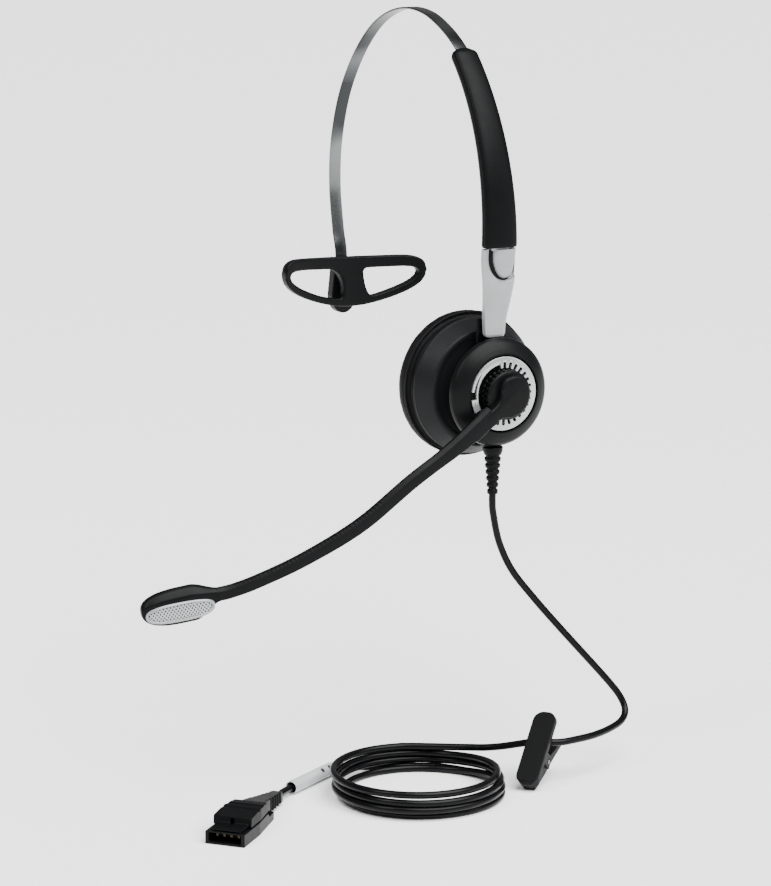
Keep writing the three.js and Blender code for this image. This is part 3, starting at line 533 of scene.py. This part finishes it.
lower_shell = softened("plug_tray", "plug_lower_shell", 0.18, 4, BLACK)
settle(lower_shell, "hub", "black_plastic", "plug_lower_shell")
upper_shell = softened("plug_cover", "plug_upper_shell", 0.18, 3, SATIN_BLACK)
settle(upper_shell, "hub", "black_plastic", "plug_upper_shell")
boot = softened("plug_tail_ribs", "plug_boot", 0.16, 4, RUBBER)
settle(boot, "hub", "rubber", "plug_boot")

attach(lead, "hub")
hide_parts("cord_upper", "cord_coil", "cord_lower")

# ---- ear cup -----------------------------------------------------------------------------------


def buckled(obj, cap, frames=20, pressure=4.0, drift=0.0):
    """Inflates a closed piece as cloth, holding each point within cap of where it began."""
    start = [v.co.copy() for v in obj.data.vertices]
    cloth = obj.modifiers.new("cloth", "CLOTH")
    settings = cloth.settings
    settings.quality = 6
    settings.mass = 0.1
    settings.use_pressure = True
    settings.uniform_pressure_force = pressure
    settings.effector_weights.gravity = 0
    settings.tension_stiffness = 6
    settings.compression_stiffness = 3
    settings.bending_stiffness = 0.05
    cloth.point_cache.frame_end = frames
    scene = bpy.context.scene
    for step in range(1, frames + 1):
        scene.frame_set(step)
    apply_modifiers(obj)
    for vertex, before in zip(obj.data.vertices, start):
        move = vertex.co - before
        if move.length > cap * MM:
            vertex.co = before + move.normalized() * cap * MM
    scene.frame_set(1)
    return obj


cushion_profile = rounded(
    [
        (8.9, 13.8), (8.9, 24.6), (6.6, 26.5), (3.2, 26.2), (0.9, 23.6), (0.35, 19.4), (1.1, 15.8), (3.2, 13.9),
        (6, 13.6),
    ],
    1.6, True, 3,
)
cushion = lathe("cushion_cover", cushion_profile, LEATHER, 96)
remesh = cushion.modifiers.new("remesh", "REMESH")
remesh.mode = "VOXEL"
remesh.voxel_size = 1.1 * MM
apply_modifiers(cushion)
buckled(cushion, 0.5)
for vertex in cushion.data.vertices:
    place = vertex.co / MM
    radius = math.hypot(place.y, place.z)
    turn = math.atan2(place.z, place.y)
    pucker = max(0.0, 1 - abs(radius - 14.6) / 3.2) * 0.16 * math.sin(turn * 38 + 2 * noise.noise(place * 0.2))
    crease = 0.22 * noise.noise(Vector((turn * 9, radius * 0.12, place.x * 0.3)))
    inward = Vector((1, 0, 0)) if place.x < 4 else Vector((0, -math.cos(turn), -math.sin(turn)))
    vertex.co += inward * (pucker + crease * eased(place.x, 9, 2)) * MM
surface = cushion.modifiers.new("finer", "SUBSURF")
surface.levels = surface.render_levels = 1
apply_modifiers(cushion)
cushion.data.materials.clear()
cushion.data.materials.append(LEATHER)
cushion.data.shade_smooth()
settle(cushion, "capsule", "leatherette", "ear_cushion")

disc_profile = [
    (2.9, 0), (2.8, 6), (2.7, 11), (3.3, 13.6), (4.6, 14.2), (5, 13.9), (4.1, 11), (3.6, 6), (3.6, 0),
]
cloth_disc = lathe("cushion_speaker_cloth", disc_profile, FOAM, 96, False)
settle(cloth_disc, "capsule", "leatherette")
piping_profile = [(p.x, p.y) for p in circle(0.42, 12, (8.3, 26.05))]
piping = lathe("cushion_seam_piping", piping_profile, LEATHER, 128)
settle(piping, "capsule", "leatherette")

ring_profile = rounded([(9.25, 12), (9.25, 24.4), (10.1, 24.7), (11, 24.2), (11, 12)], 0.4)
settle(lathe("cushion_mount_ring", ring_profile, BLACK, 128), "capsule", "black_plastic", "cushion_ring")

bowl_profile = rounded(
    [
        (11.3, 22.8), (11.3, 24.9), (12.9, 25), (13.3, 24.65), (19.2, 21.3), (19.5, 20.6), (19.5, 19.4),
        (19.1, 18.8), (19.1, 12.9), (19.5, 12.2), (20.9, 12.2), (20.9, 8.6), (19.9, 8.6), (19.9, 10.2),
        (18.2, 10), (16.6, 9.6), (16.6, 11.6), (18, 11.6), (18, 19.8), (12.5, 22.8),
    ],
    0.45,
)
settle(lathe("speaker_bowl", bowl_profile, GREY, 144), "capsule", "grey_plastic", "speaker_housing")

# ---- hub ---------------------------------------------------------------------------------------

shell_profile = rounded(
    [
        (27.7, 18), (27.7, 19.5), (28.6, 19.6), (29.9, 19.35), (31.3, 18.1), (32.5, 16.1), (33.3, 14.4),
        (33.3, 13.95), (32, 13.9), (32, 2), (30.8, 2), (30.8, 14.6), (29.6, 17.4), (28.9, 18),
    ],
    0.5, True, 5,
)
settle(lathe("hub_shell", shell_profile, BLACK, 144), "hub", "black_plastic", "front_housing")
cover_profile = rounded([(27.6, 6.6), (27.6, 17.6), (28.8, 17.6), (28.8, 6.6)], 0.3)
settle(lathe("hub_back_cover", cover_profile, BLACK, 128), "hub", "black_plastic", "back_cover")
settle(softened("yoke_body", "yoke_ring", 0.3, 4, BLACK), "hub", "black_plastic", "yoke_ring")

# The silver ring: slots round its bore, a hooked slit on its forward side, and a break under the boom.
TEETH = 28
SLOT_PHASE = math.radians(-1.05)
ring_rings = []
for j in range(TEETH * 16):
    turn = math.tau * j / (TEETH * 16) + SLOT_PHASE
    share = abs((j / 16 + 0.5) % 1 - 0.5)
    toothed = -113 < math.degrees(turn) < 101 or math.degrees(turn) > 247
    slot = math.sqrt(max(1 - (share / 0.3) ** 2, 0.0)) * 0.35 + 0.65 if share < 0.3 else 0.0
    bore = 9.15 + 2.2 * slot if toothed else 10.7
    section = [
        (32.3, bore), (32.3, 13.2), (33, 13.3), (33.2, 13.2), (33.3, 13), (33.3, bore + 0.12),
        (33.22, bore + 0.02),
    ]
    ring_rings.append([(x, r * math.cos(turn), r * math.sin(turn)) for x, r in section])
toothed_ring = loft("silver_ring", ring_rings, BRIGHT, closed=True)


def arc_block(name, inner, outer, start, end):
    """A cutter for the ring: inner and outer are its radii at its start and at its end."""
    outline = []
    for k in range(17):
        angle = math.radians(start + (end - start) * k / 16)
        radius = outer[0] + (outer[1] - outer[0]) * k / 16
        outline.append(Vector((radius * math.cos(angle), radius * math.sin(angle))))
    for k in range(16, -1, -1):
        angle = math.radians(start + (end - start) * k / 16)
        radius = inner[0] + (inner[1] - inner[0]) * k / 16
        outline.append(Vector((radius * math.cos(angle), radius * math.sin(angle))))
    return loft(name, [[along_x(p.x, p.y, x) for p in outline] for x in (32, 34.4)], BRIGHT)


carve(
    toothed_ring,
    arc_block("slit", (11.8, 11.2), (12.2, 12.6), 141, 186),
    arc_block("slit_mouth", (11.9, 11.9), (14, 14), 173, 186),
    arc_block("ring_break", (8, 8), (14, 14), 207, 238),
)
settle(toothed_ring, "hub", "satin_silver", "toothed_ring")

# ---- boom --------------------------------------------------------------------------------------

BOOM_POINTS = [
    (38.2, -2, -1.6), (38.2, -22, -15.6), (37.2, -40, -26.8), (34.4, -59, -40.8),
    (29, -78.3, -51.8), (23.6, -94, -59), (20.2, -102.3, -62.1), (18.9, -106.6, -63),
]
BOOM_STEP = 0.4
RIDGE_PITCH = 1.5
boom_line = smooth_line(BOOM_POINTS, BOOM_STEP)


def boom_ring(i, count=len(boom_line)):
    """The boom's section at sample i, taller at the hub, with ridges on its upper edge further out."""
    here = boom_line[i]
    along = (boom_line[min(i + 1, count - 1)] - boom_line[max(i - 1, 0)]).normalized()
    out = (Vector((1, 0, 0)) - along * along.x).normalized()
    up = out.cross(along)
    if up.z < 0:
        up.negate()
    share = i / (count - 1)
    height = 5.3 + max(0.0, 2.6 - share * 9.5) - 0.5 * eased(share, 0.5, 0.85)
    ridged = eased(share, 0.42, 0.5) * (1 - eased(share, 0.93, 0.98))
    ridge = 0.34 * (0.5 - 0.5 * math.cos(math.tau * i * BOOM_STEP / RIDGE_PITCH)) * ridged
    h, t = height / 2, 1.7
    section = [
        (-h, -t + 0.8), (-h + 0.35, -t + 0.2), (-h + 0.9, -t), (h - 1.1, -t), (h - 0.35, -t + 0.5),
        (h - ridge, -0.5), (h - ridge, 0.45), (h - 0.5, t - 0.55), (h - 1.25, t), (-h + 0.9, t),
        (-h + 0.35, t - 0.2), (-h, t - 0.8),
    ]
    return [here + up * v + out * w for v, w in section]


def boom_stretch(name, start, end):
    first, last = round(start * (len(boom_line) - 1)), round(end * (len(boom_line) - 1))
    return loft(name, [boom_ring(i) for i in range(first, last + 1)], RUBBER, angle=30)


SEAM = 0.63
boom_inner = boom_stretch("boom_sleeve_inner", 0.06, SEAM)
boom_outer = boom_stretch("boom_sleeve_outer", SEAM, 1.0)


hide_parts("boom_arm_middle")
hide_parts("boom_arm_outer")
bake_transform(boom_inner)
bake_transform(boom_outer)

# The knob that the boom turns on: ribbed round its side, with a raised paddle that runs into the boom.
knob_rings = []
for x, r in [
    (33.2, 6.8), (32.4, 6.9), (32.4, 8.4), (32.7, 8.8), (33, 8.9), (36.1, 8.9), (36.6, 8.8), (37, 8.6),
    (37.25, 8.2), (37.3, 7.7), (37.3, 3), (37.3, 0.05),
]:
    ribbed = 0.6 if r > 8.85 else 0.0
    ring = []
    for j in range(TEETH * 8):
        turn = math.tau * j / (TEETH * 8)
        groove = ribbed * eased(math.cos(turn * TEETH), -0.3, 0.5)
        ring.append((x, (r - groove) * math.cos(turn), (r - groove) * math.sin(turn)))
    knob_rings.append(ring)
knob = loft("boom_knob", knob_rings, BLACK, caps=False)
paddle_line = smooth_line(
    [
        (0.5, 7.2), (4, 6.6), (6.4, 3.4), (6.8, 0), (5.8, -3.5), (3.2, -6.3), (-0.5, -7.6), (-4, -7.7),
        (-6.8, -8.9), (-10, -11.5), (-14.5, -14.8), (-16.6, -13.8), (-16.4, -10.6), (-12.4, -6.4),
        (-8.4, -3.9), (-5.8, -1.6), (-4.9, 0.8), (-4.7, 3.4), (-3, 6.2), (0.5, 7.2),
    ],
    0.7,
)[:-1]
paddle = plate("boom_paddle", [(p.x, p.y) for p in paddle_line], 36, 39.95, along_x, BLACK, 0.8)
settle(merged("boom_knob_and_paddle", knob, paddle), "boom", "black_plastic", "boom_arm_inner")

# ---- microphone --------------------------------------------------------------------------------

mic_along = Vector((-6.2, -23.9, -3.85)).normalized()
mic_out = (Vector((1, 0, 0)) - mic_along * mic_along.x).normalized()
mic_down = mic_out.cross(mic_along)
mic_start = boom_line[-1]
MIC_LENGTH, MIC_MIDDLE = 27.6, 12.8
POD_SECTION = rounded(
    [
        (-0.5, 1), (0.84, 1), (1, 0.72), (1, 0.1), (0.75, -0.75), (0.1, -1.15), (-0.6, -1.05), (-0.95, -0.55),
        (-1, -0.05), (-0.86, 0.45),
    ],
    0.16,
)


def mic_place(u, v, w):
    return mic_start + mic_along * u + mic_down * v + mic_out * w


def pod_fullness(u, power):
    """How much of its full size the pod has at u: one in the middle and nought at its tip."""
    t = max(u - MIC_MIDDLE, 0) / (MIC_LENGTH - MIC_MIDDLE)
    return max(1 - t**power, 0.0) ** (1 / power)


def pod_half_height(u):
    swell = eased(u, -1, 9.5)
    return (2.32 * (1 - swell) + 6.3 * swell) * pod_fullness(u, 2.5)


def pod_front(u):
    swell = eased(u, -0.5, 8)
    return (1.6 * (1 - swell) + 2.9 * swell) * pod_fullness(u, 4)


mic_rings = []
for k in range(71):
    u = MIC_LENGTH * math.sin(math.pi / 2 * k / 70) - 0.3 * (1 - k / 70)
    lean = 0.7 * eased(u, 0, 9)
    mic_rings.append([mic_place(u, p.x * pod_half_height(u) + lean, p.y * pod_front(u)) for p in POD_SECTION])
pod = loft("microphone_pod", mic_rings, RUBBER, angle=40)
settle(pod, "boom_tip", "black_plastic", "mic_housing")

GRILLE_LONG, GRILLE_SHORT = 12.3, 3.5
GRILLE_MIDDLE = (14.1, 2.5)
GRILLE_TILT = math.radians(-1.5)


def grille_place(u, v, lift):
    along = GRILLE_MIDDLE[0] + u * math.cos(GRILLE_TILT) - v * math.sin(GRILLE_TILT)
    down = GRILLE_MIDDLE[1] + u * math.sin(GRILLE_TILT) + v * math.cos(GRILLE_TILT)
    return mic_place(along, down, max(pod_front(along), 1.75) + lift - 0.12 * max(v, 0) ** 1.2 * 0.5)


def power(value, exponent):
    return math.copysign(abs(value) ** exponent, value)


oval = []
for i in range(112):
    turn = math.tau * i / 112
    oval.append(Vector((GRILLE_LONG * power(math.cos(turn), 0.72), GRILLE_SHORT * power(math.sin(turn), 0.8))))
rim_rings = []
for scale_in, lift in [(0.0, -1.2), (0.0, 0.05), (0.1, 0.3), (0.4, 0.48), (0.8, 0.4), (1.0, 0.15), (1.0, -1.2)]:
    rim_rings.append([grille_place(p.x, p.y, lift) for p in inset(oval, scale_in)])
rim = loft("microphone_grille_rim", rim_rings, SILVER, closed=True)
settle(rim, "boom_tip", "satin_silver")

mesh_points, mesh_faces = [], []
inner_oval = inset(oval, 0.95)
levels = 12
for k in range(levels + 1):
    share = 1 - k / levels
    mesh_points += [grille_place(p.x * share, p.y * share, 0.2 + 0.4 * (1 - share**2)) for p in inner_oval]
for k in range(levels):
    for i in range(112):
        a, b = k * 112, (k + 1) * 112
        mesh_faces.append((a + i, a + (i + 1) % 112, b + (i + 1) % 112, b + i))
woven = Surface("microphone_mesh", (0.36, 0.375, 0.38), 0.34, 0.5)
cell = woven.node("ShaderNodeMapping")
cell.inputs["Rotation"].default_value = Matrix((mic_along, mic_down, mic_out)).to_euler()
woven.link(woven.coordinates, cell.inputs["Vector"])
heights = []
for way in (1, -1):
    wave = woven.node("ShaderNodeTexWave", Scale=1 / (1.0 * MM) * 0.32)
    turned = woven.node("ShaderNodeMapping")
    turned.inputs["Rotation"].default_value = (0, 0, math.radians(38 * way))
    woven.link(cell.outputs["Vector"], turned.inputs["Vector"])
    woven.link(turned.outputs["Vector"], wave.inputs["Vector"])
    heights.append(wave.outputs["Fac"])
crossed = woven.node("ShaderNodeMath", operation="MULTIPLY")
woven.link(heights[0], crossed.inputs[0])
woven.link(heights[1], crossed.inputs[1])
woven.vary(crossed.outputs[0], (0.012, 0.013, 0.014), 0.26, 0.44)
woven.bump(crossed.outputs[0], -0.12, 1.0)
screen = mesh_object("microphone_grille_mesh", mesh_points, mesh_faces, woven.material, 60)
thick = screen.modifiers.new("thick", "SOLIDIFY")
thick.thickness = 0.25 * MM
apply_modifiers(screen)
settle(screen, "boom_tip", "satin_silver", "mic_grille")

# ---- arm and sleeve ----------------------------------------------------------------------------

ARM_POINTS = [(26.1, 0, 19.7), (26.3, 0, 26), (27.9, 0, 33.5), (28.9, 0, 40), (28.9, 0, 46), (29.3, 0, 51.2)]
BUTTON_MIDDLE, BUTTON_HALF = (2.2, 48.8), (4.9, 8.2)  # the arm's round button: y and z
arm_line = smooth_line(ARM_POINTS, 0.3)
ARM_FRONT_STEPS = 44
arm_rings = []
for i, here in enumerate(arm_line):
    z = here.z
    along = (arm_line[min(i + 1, len(arm_line) - 1)] - arm_line[max(i - 1, 0)]).normalized()
    out = Vector((along.z, 0, -along.x))
    half = 3.9 + 2.8 * eased(z, 17, 50)
    end = 1 - 0.12 * (1 - eased(z, 19.7, 20.9)) ** 2
    thick = 1.9 * (1 - 0.1 * (1 - eased(z, 19.7, 20.7)))
    ring = []
    for k in range(ARM_FRONT_STEPS + 1):
        y = half * end * (2 * k / ARM_FRONT_STEPS - 1)
        facet = 0.8 * eased(abs(y), half - 1.5, half - 0.1) + 0.15 * eased(abs(y), half - 2.1, half - 1.7)
        hollow = eased(1 - math.hypot((y - 1.9) / 8.1, (z - 51) / 11.4), 0, 0.05)
        across, up = (y - BUTTON_MIDDLE[0]) / BUTTON_HALF[0], (z - BUTTON_MIDDLE[1]) / BUTTON_HALF[1]
        dome = math.sqrt(max(1 - across**2 - up**2, 0.0))
        ring.append(here + Vector((0, y, 0)) + out * (thick - facet - hollow * (1.9 - 2.1 * dome**0.8)))
    for reach, depth in [(1, 0.1), (0.97, -0.75 * thick), (0.8, -thick)]:
        ring.append(here + Vector((0, half * end * reach, 0)) + out * depth)
    for reach, depth in [(-0.8, -thick), (-0.97, -0.75 * thick), (-1, 0.1)]:
        ring.append(here + Vector((0, half * end * reach, 0)) + out * depth)
    arm_rings.append(ring)
arm = loft("arm_blade", arm_rings, SILVER, angle=28)
tang = plate("arm_tang", box_section(7.2, 8.6, 0.6), 28.3, 30.2, lambda u, v, w: (w, u, v + 55), SILVER, 0.3)
settle(merged("arm_blade_and_tang", arm, tang), "hub", "satin_silver", "silver_arm")


# A black sheet set in the hollow round the lower left of the arm's button: painted shade where the button sinks
# into the blade.
def button_edge(share, half_width, half_height, top):
    """A point on an oval about the button: share runs from its left to its lower right."""
    turn = math.radians(158 + 130 * share)
    y = BUTTON_MIDDLE[0] + half_width * math.cos(turn)
    return (y, min(BUTTON_MIDDLE[1] + half_height * math.sin(turn), top))


painted_shade_outline = []
for k in range(33):
    grow = 1.05 + 0.34 * (1 - k / 32)
    painted_shade_outline.append(button_edge(k / 32, BUTTON_HALF[0] * grow, BUTTON_HALF[1] * grow, 51.1))
for k in range(32, -1, -1):
    painted_shade_outline.append(button_edge(k / 32, BUTTON_HALF[0] - 0.2, BUTTON_HALF[1] - 0.3, 51))
# painted shade: this black sheet darkens the hollow round the button
button_shade_sheet = loft("arm_button_painted_shade", [[along_x(y, z, x) for y, z in painted_shade_outline] for x in (28.6, 29.3)], BLACK)
settle(button_shade_sheet, "hub", "black_plastic")


def stud_place(u, v, w):
    return (w - 0.2, u * 1.3 - 1.0, v * 0.6 + 18.9)


stud = plate("arm_foot_stud", circle(0.9, 24), 29.0, 29.65, stud_place, BRIGHT, 0.2)
settle(stud, "hub", "satin_silver")

SLIDE = Vector((-62.5, 0, 54.8))
SLIDE_RADIUS = 91.8


def sleeve_half(name, side, material):
    """One half of the sleeve: side is 1 for the outer half and -1 for the inner."""
    rings = []
    first, last = -1.85, 44.3
    for i in range(97):
        angle = first + (last - first) * i / 96
        direction = Vector((math.cos(math.radians(angle)), 0, math.sin(math.radians(angle))))
        here = SLIDE + direction * SLIDE_RADIUS
        from_end = (last - angle) * math.radians(1) * SLIDE_RADIUS
        from_start = (angle - first) * math.radians(1) * SLIDE_RADIUS
        end = math.sqrt(max(1 - max(1 - from_end / 2.6, 0) ** 2, 0.0)) * 0.35 + 0.65
        foot = 1 - 0.03 * (1 - eased(from_start, 0, 0.8))
        z = here.z
        half = (6.7 + (4.8 - 6.7) * eased(z, 40, 125)) * end * foot
        skin = (2.55 - 0.2 * (1 - eased(from_start, 0, 0.8))) * (1 - 0.35 * (1 - eased(from_end, 0, 2.2)))
        section = [
            (-half, 0.16), (-half, skin - 1.5), (-half + 0.25, skin - 0.95), (-half + 0.8, skin - 0.5),
            (-half * 0.55, skin - 0.05), (0, skin), (half * 0.55, skin - 0.05), (half - 0.8, skin - 0.5),
            (half - 0.25, skin - 0.95), (half, skin - 1.5), (half, 0.16),
            (2.9, 0.16), (2.9, 1.2), (-2.9, 1.2), (-2.9, 0.16),
        ]
        rings.append([here + Vector((0, u, 0)) + direction * v * side for u, v in section])
    return loft(name, rings, material, angle=32)


settle(sleeve_half("sleeve_front_shell", 1, SATIN_BLACK), "hub", "black_plastic", "sleeve_outer")
settle(sleeve_half("sleeve_rear_shell", -1, SATIN_BLACK), "hub", "black_plastic", "sleeve_inner")

# ---- band, holder and temple pad ---------------------------------------------------------------

band_points = []
for k in range(8):
    angle = math.radians(17 + 4 * k)
    band_points.append((SLIDE.x + math.cos(angle) * SLIDE_RADIUS, 0, SLIDE.z + math.sin(angle) * SLIDE_RADIUS))
band_points += [
    (-7, 0, 125.8), (-20, 0, 131), (-34.5, 0, 132.4), (-49, 0, 129.4), (-62, 0, 122.6), (-74.5, 0, 111),
    (-84.4, 0, 96.4), (-90.4, 0, 79), (-91.7, 0, 62), (-89.4, 0, 46), (-87.2, 0, 38), (-86.5, 0, 31),
    (-86.4, 0, 26.5),
]
band_line = smooth_line(band_points, 1.2)
band_rings = []
for i, here in enumerate(band_line):
    along = (band_line[min(i + 1, len(band_line) - 1)] - band_line[max(i - 1, 0)]).normalized()
    out = Vector((along.z, 0, -along.x))
    band_rings.append([here + Vector((0, u, 0)) + out * v for u, v in box_section(5, 0.7, 0.3, 3)])
settle(loft("band_strip", band_rings, STEEL, angle=40), "band", "steel", "steel_band")
settle(softened("pad_holder_body", "pad_holder", 0.22, 5, GREY), "band", "black_plastic", "pad_holder")
pad = softened("temple_pad_skin", "temple_pad", 0.36, 10, RUBBER)
settle(pad, "pad", "rubber", "temple_pad")

# ---- carried-over CAD pieces -------------------------------------------------------------------

for node, material in {
    "speaker_grille": BLACK, "driver_diaphragm": FOAM, "driver_basket": BLACK, "driver_magnet": STEEL,
    "socket_ring": GREY, "ball_neck": BLACK, "circuit_board": BOARD, "detent_washer": STEEL,
    "boom_pivot_pin": STEEL, "friction_spring": STEEL, "band_stop": STEEL, "mic_capsule": STEEL,
    "clip_pin": STEEL, "clip_spring": STEEL, "plug_contact_block": BLACK,
    "plug_contact_1": BRASS, "plug_contact_2": BRASS, "plug_contact_3": BRASS, "plug_contact_4": BRASS,
}.items():
    mesh = NODES[node].data
    mesh.materials.clear()
    mesh.materials.append(material)

# ---- studio ------------------------------------------------------------------------------------

FLOOR_REACH = 25000
floor_outline = [(x * FLOOR_REACH, y * FLOOR_REACH) for x, y in [(-1, -1), (1, -1), (1, 1), (-1, 1)]]
floor = plate("floor", floor_outline, FLOOR - 3.1, FLOOR - 0.02, as_drawn, floor_paint.material, 1)

world = bpy.data.worlds.new("studio")
bpy.context.scene.world = world
world.use_nodes = True
world.node_tree.nodes["Background"].inputs["Color"].default_value = (1, 1, 1, 1)
world.node_tree.nodes["Background"].inputs["Strength"].default_value = 0.3


def softbox(name, offset, target, width, height, power):
    """A rectangular light, its offset in metres to the right of, above and camera-side of its target."""
    data = bpy.data.lights.new(name, "AREA")
    data.shape = "RECTANGLE"
    data.size, data.size_y = width, height
    data.energy = power
    lamp = bpy.data.objects.new(name, data)
    place = Vector(target) + RIGHT * offset[0] + Vector((0, 0, 1)) * offset[1] + BACK * offset[2]
    lamp.location = place
    lamp.rotation_euler = (Vector(target) - place).to_track_quat("-Z", "Y").to_euler()
    bpy.context.scene.collection.objects.link(lamp)


softbox("key", (-0.7, 0.75, 0.55), (0, 0, 0), 0.35, 0.8, 9)
softbox("side", (0.9, 0.35, 0.2), (0, 0, 0), 0.25, 0.7, 1.6)
sky_data = bpy.data.lights.new("sky", "SUN")
sky_data.energy = 9
sky_data.angle = math.radians(60)
sky = bpy.data.objects.new("sky", sky_data)
sky.rotation_euler = (BACK * 0.5 + RIGHT * 0.45 + Vector((0, 0, 1))).to_track_quat("Z", "Y").to_euler()
bpy.context.scene.collection.objects.link(sky)
